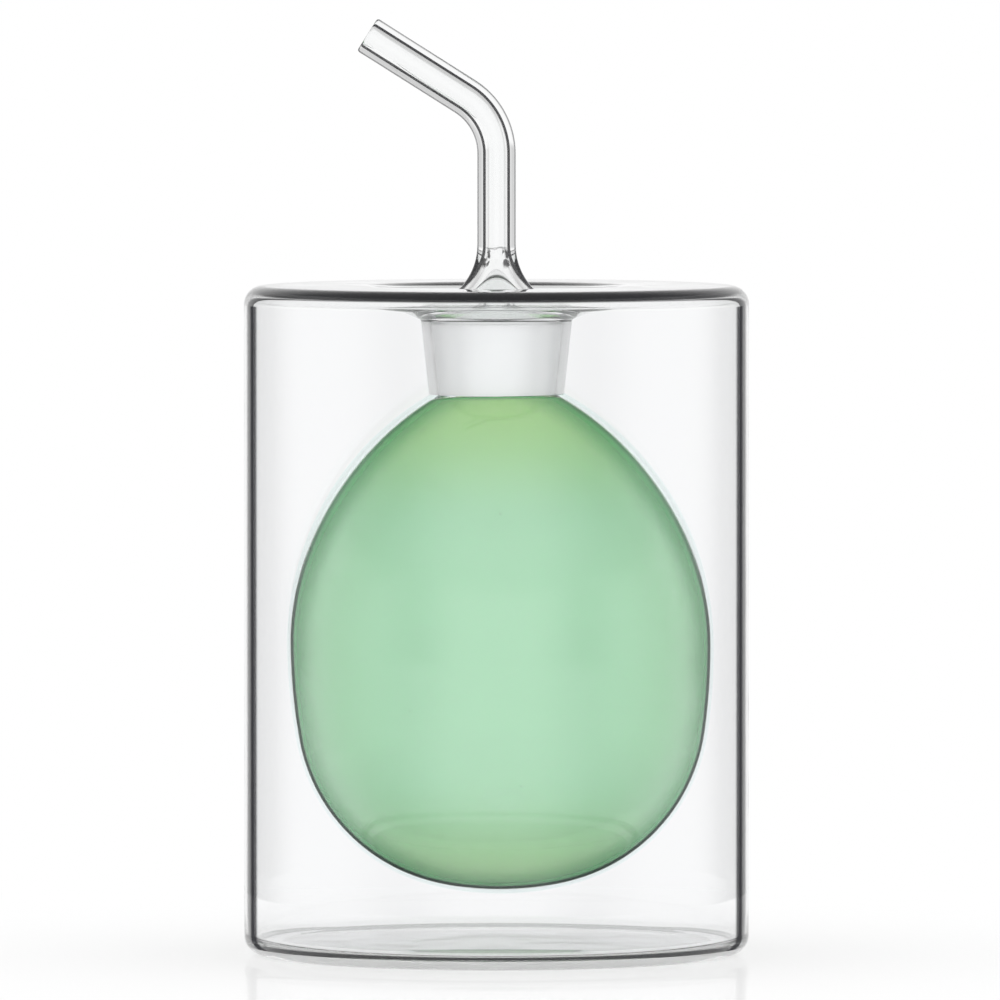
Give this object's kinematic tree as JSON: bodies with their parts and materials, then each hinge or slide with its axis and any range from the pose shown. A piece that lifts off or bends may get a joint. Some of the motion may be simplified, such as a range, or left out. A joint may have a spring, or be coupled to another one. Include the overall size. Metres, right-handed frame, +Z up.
{
  "type": "oil cruet",
  "caption": "Double-walled glass oil cruet: a tinted egg-shaped inner bulb hangs in a clear straight jacket and pours through a lift-out ground stopper with a bent tube.",
  "frame": {"origin": "centre of the base, on the surface it stands on", "axes": "+Z up along the jacket's axis, the pouring tube leans towards -X"},
  "size_m": [0.08, 0.08, 0.1481],
  "materials": {
    "clear_glass": "clear polished, with a ground white socket",
    "green_glass": "clear polished, tinted green",
    "stopper_glass": "clear polished tube, ground white cone"
  },
  "bodies": {
    "root": {"outer_jacket": "clear_glass", "green_bulb": "green_glass", "stopper_spout": "stopper_glass"}
  },
  "joints": []
}
